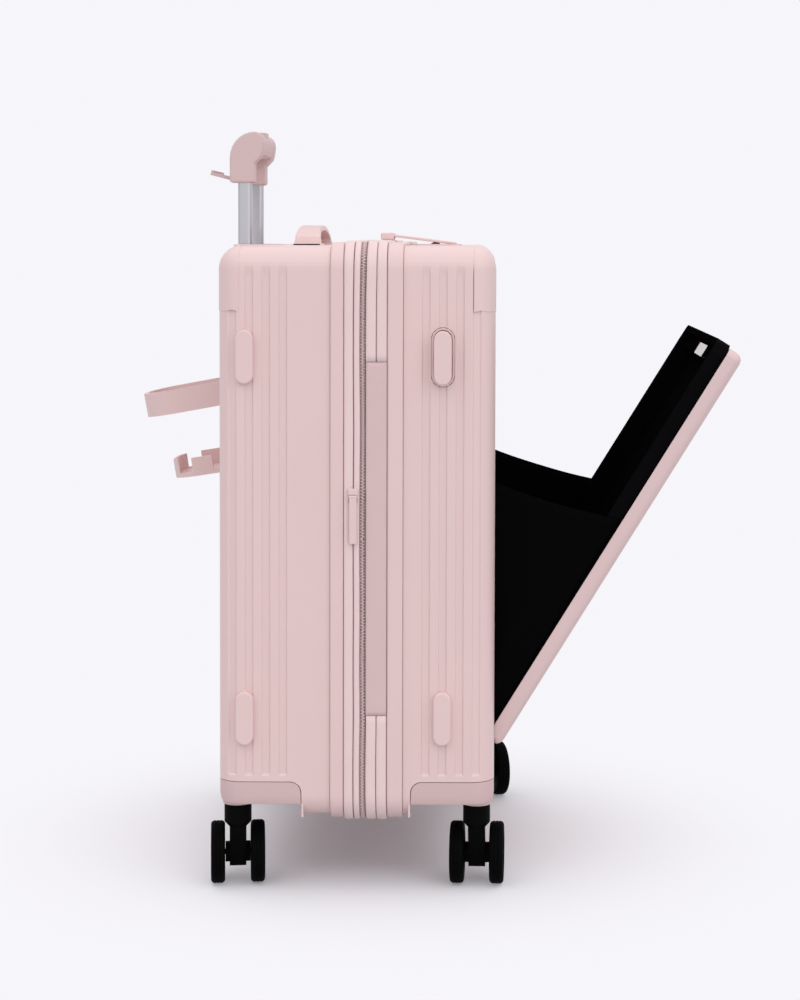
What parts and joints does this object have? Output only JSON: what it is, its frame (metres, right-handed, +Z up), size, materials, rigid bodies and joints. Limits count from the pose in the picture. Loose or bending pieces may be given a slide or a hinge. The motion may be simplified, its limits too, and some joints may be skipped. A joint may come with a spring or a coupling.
{
  "type": "hard shell suitcase",
  "caption": "Upright hard shell carry-on case on swivel casters, with a pull handle, cup holder, phone rest, bag hook and a front laptop door.",
  "frame": {"origin": "on the floor, under the middle of the box round the whole case as it stands with its front door open", "axes": "+Z up; +X towards the front laptop door, across the depth of the case; +Y towards the side without the bag hook"},
  "size_m": [0.537, 0.382, 0.657],
  "materials": {
    "shell": "satin moulded shell",
    "trim": "fine matt moulding",
    "zip_tape": "woven zip tape",
    "black_plastic": "satin black",
    "wheel": "smooth black tread",
    "black_cloth": "plain black weave",
    "tube": "anodised, drawn",
    "steel": "polished"
  },
  "bodies": {
    "rear_case": {"rear_shell": "shell", "rear_rim": "trim", "expansion_tape": "zip_tape", "expansion_fold": "zip_tape", "expansion_slider": "trim", "trolley_bezel": "trim", "outer_tube_near": "tube", "outer_tube_far": "tube", "tube_bracket": "black_plastic", "carry_socket_near": "trim", "carry_socket_far": "trim", "rear_near_housing": "trim", "rear_far_housing": "trim", "cup_plate": "trim", "rear_lining": "black_cloth"},
    "zip_middle": {"centre_band": "zip_tape", "fabric_hinge": "zip_tape"},
    "front_case": {"front_tape": "zip_tape", "front_rim": "trim", "front_shell": "shell", "laptop_box": "black_cloth", "door_pin": "steel", "front_near_housing": "trim", "front_far_housing": "trim", "hook_socket": "trim", "lock_body": "trim", "zip_sliders": "trim", "gusset_near": "black_cloth", "gusset_far": "black_cloth"},
    "trolley": {"inner_tube_near": "tube", "inner_tube_far": "tube", "grip": "trim"},
    "release_button": {"release_button": "trim"},
    "phone_rest": {"phone_rest": "trim"},
    "carry_handle": {"carry_handle": "trim"},
    "cup_ring": {"cup_ring": "trim"},
    "cup_tray": {"cup_tray": "trim"},
    "expansion_pull": {"expansion_pull": "trim"},
    "door": {"door_shell": "shell", "door_frame": "black_plastic"},
    "door_latch": {"door_latch": "steel"},
    "bag_hook": {"bag_hook": "trim"},
    "pull_tab_near": {"pull_tab_near": "trim"},
    "pull_tab_far": {"pull_tab_far": "trim"},
    "lock_button": {"lock_button": "black_plastic"},
    "lock_dial_1": {"lock_dial_1": "black_plastic"},
    "lock_dial_2": {"lock_dial_2": "black_plastic"},
    "lock_dial_3": {"lock_dial_3": "black_plastic"},
    "rear_near_fork": {"rear_near_fork": "black_plastic"},
    "rear_near_wheel_left": {"rear_near_wheel_left": "wheel"},
    "rear_near_wheel_right": {"rear_near_wheel_right": "wheel"},
    "rear_far_fork": {"rear_far_fork": "black_plastic"},
    "rear_far_wheel_left": {"rear_far_wheel_left": "wheel"},
    "rear_far_wheel_right": {"rear_far_wheel_right": "wheel"},
    "front_near_fork": {"front_near_fork": "black_plastic"},
    "front_near_wheel_left": {"front_near_wheel_left": "wheel"},
    "front_near_wheel_right": {"front_near_wheel_right": "wheel"},
    "front_far_fork": {"front_far_fork": "black_plastic"},
    "front_far_wheel_left": {"front_far_wheel_left": "wheel"},
    "front_far_wheel_right": {"front_far_wheel_right": "wheel"}
  },
  "joints": [
    {"name": "trolley_slide", "type": "slide", "parent": "rear_case", "child": "trolley", "axis": [0, 0, 1], "range_m": [-0.095, 0.27]},
    {"name": "release_button_press", "type": "slide", "parent": "trolley", "child": "release_button", "axis": [0, 0, -1], "range_m": [0, 0.0025], "stiffness_N_per_m": 600, "springref_m": -0.002},
    {"name": "phone_rest_fold", "type": "hinge", "parent": "trolley", "child": "phone_rest", "pos_m": [-0.17871, 0.003, 0.6134], "axis": [0, 1, 0], "range_deg": [0, 75]},
    {"name": "carry_handle_lift", "type": "slide", "parent": "rear_case", "child": "carry_handle", "axis": [0, 0, 1], "range_m": [0, 0.006]},
    {"name": "cup_ring_fold", "type": "hinge", "parent": "rear_case", "child": "cup_ring", "pos_m": [-0.18461, 0.003, 0.429], "axis": [0, 1, 0], "range_deg": [0, 100]},
    {"name": "cup_tray_fold", "type": "hinge", "parent": "rear_case", "child": "cup_tray", "pos_m": [-0.18461, 0.003, 0.3485], "axis": [0, -1, 0], "range_deg": [0, 81]},
    {"name": "expansion_slide", "type": "slide", "parent": "rear_case", "child": "zip_middle", "axis": [1, 0, 0], "range_m": [0, 0.04], "deforming": ["expansion_fold"]},
    {"name": "case_open", "type": "hinge", "parent": "zip_middle", "child": "front_case", "pos_m": [-0.04346, -0.1835, 0.3055], "axis": [0, 0, -1], "range_deg": [0, 160], "deforming": ["fabric_hinge"]},
    {"name": "door_open", "type": "hinge", "parent": "front_case", "child": "door", "pos_m": [0.04729, 0.003, 0.115], "axis": [0, 1, 0], "range_deg": [-31.7, 0], "deforming": ["gusset_near", "gusset_far"]},
    {"name": "door_latch_press", "type": "slide", "parent": "door", "child": "door_latch", "axis": [-0.5255, 0, -0.8508], "range_m": [0, 0.002], "stiffness_N_per_m": 500, "springref_m": -0.002},
    {"name": "bag_hook_push", "type": "slide", "parent": "front_case", "child": "bag_hook", "axis": [0, 1, 0], "range_m": [0, 0.0105]},
    {"name": "pull_tab_near_lift", "type": "hinge", "parent": "front_case", "child": "pull_tab_near", "pos_m": [-0.03871, -0.004, 0.5627], "axis": [0, -1, 0], "range_deg": [0, 95]},
    {"name": "pull_tab_far_lift", "type": "hinge", "parent": "front_case", "child": "pull_tab_far", "pos_m": [-0.03871, 0.01, 0.5627], "axis": [0, -1, 0], "range_deg": [0, 95]},
    {"name": "expansion_pull_swing", "type": "hinge", "parent": "rear_case", "child": "expansion_pull", "pos_m": [-0.06291, -0.1863, 0.342], "axis": [1, 0, 0], "range_deg": [-80, 0]},
    {"name": "lock_dial_1_turn", "type": "hinge", "parent": "front_case", "child": "lock_dial_1", "pos_m": [0.00103, 0.02312, 0.5512], "axis": [0, 1, 0], "continuous": true},
    {"name": "lock_dial_2_turn", "type": "hinge", "parent": "front_case", "child": "lock_dial_2", "pos_m": [0.00103, 0.02752, 0.5512], "axis": [0, 1, 0], "continuous": true},
    {"name": "lock_dial_3_turn", "type": "hinge", "parent": "front_case", "child": "lock_dial_3", "pos_m": [0.00103, 0.03192, 0.5512], "axis": [0, 1, 0], "continuous": true},
    {"name": "lock_button_push", "type": "slide", "parent": "front_case", "child": "lock_button", "axis": [-1, 0, 0], "range_m": [0, 0.003], "stiffness_N_per_m": 400, "springref_m": -0.003},
    {"name": "rear_near_swivel", "type": "hinge", "parent": "rear_case", "child": "rear_near_fork", "pos_m": [-0.16391, -0.155, 0.0729], "axis": [0, 0, 1], "continuous": true},
    {"name": "rear_near_left_spin", "type": "hinge", "parent": "rear_near_fork", "child": "rear_near_wheel_left", "pos_m": [-0.18245, -0.14519, 0.0266], "axis": [0.9925, 0.1219, 0], "continuous": true},
    {"name": "rear_near_right_spin", "type": "hinge", "parent": "rear_near_fork", "child": "rear_near_wheel_right", "pos_m": [-0.1483, -0.14099, 0.0266], "axis": [0.9925, 0.1219, 0], "continuous": true},
    {"name": "rear_far_swivel", "type": "hinge", "parent": "rear_case", "child": "rear_far_fork", "pos_m": [-0.16391, 0.161, 0.0729], "axis": [0, 0, 1], "continuous": true},
    {"name": "rear_far_left_spin", "type": "hinge", "parent": "rear_far_fork", "child": "rear_far_wheel_left", "pos_m": [-0.14958, 0.14569, 0.0266], "axis": [-0.9781, 0.2079, 0], "continuous": true},
    {"name": "rear_far_right_spin", "type": "hinge", "parent": "rear_far_fork", "child": "rear_far_wheel_right", "pos_m": [-0.18323, 0.15284, 0.0266], "axis": [-0.9781, 0.2079, 0], "continuous": true},
    {"name": "front_near_swivel", "type": "hinge", "parent": "front_case", "child": "front_near_fork", "pos_m": [0.04249, -0.155, 0.0729], "axis": [0, 0, 1], "continuous": true},
    {"name": "front_near_left_spin", "type": "hinge", "parent": "front_near_fork", "child": "front_near_wheel_left", "pos_m": [0.02571, -0.14241, 0.0266], "axis": [0.9994, -0.0349, 0], "continuous": true},
    {"name": "front_near_right_spin", "type": "hinge", "parent": "front_near_fork", "child": "front_near_wheel_right", "pos_m": [0.06009, -0.14361, 0.0266], "axis": [0.9994, -0.0349, 0], "continuous": true},
    {"name": "front_far_swivel", "type": "hinge", "parent": "front_case", "child": "front_far_fork", "pos_m": [0.04249, 0.161, 0.0729], "axis": [0, 0, 1], "continuous": true},
    {"name": "front_far_left_spin", "type": "hinge", "parent": "front_far_fork", "child": "front_far_wheel_left", "pos_m": [0.06221, 0.15386, 0.0266], "axis": [-0.9659, -0.2588, 0], "continuous": true},
    {"name": "front_far_right_spin", "type": "hinge", "parent": "front_far_fork", "child": "front_far_wheel_right", "pos_m": [0.02898, 0.14496, 0.0266], "axis": [-0.9659, -0.2588, 0], "continuous": true}
  ]
}
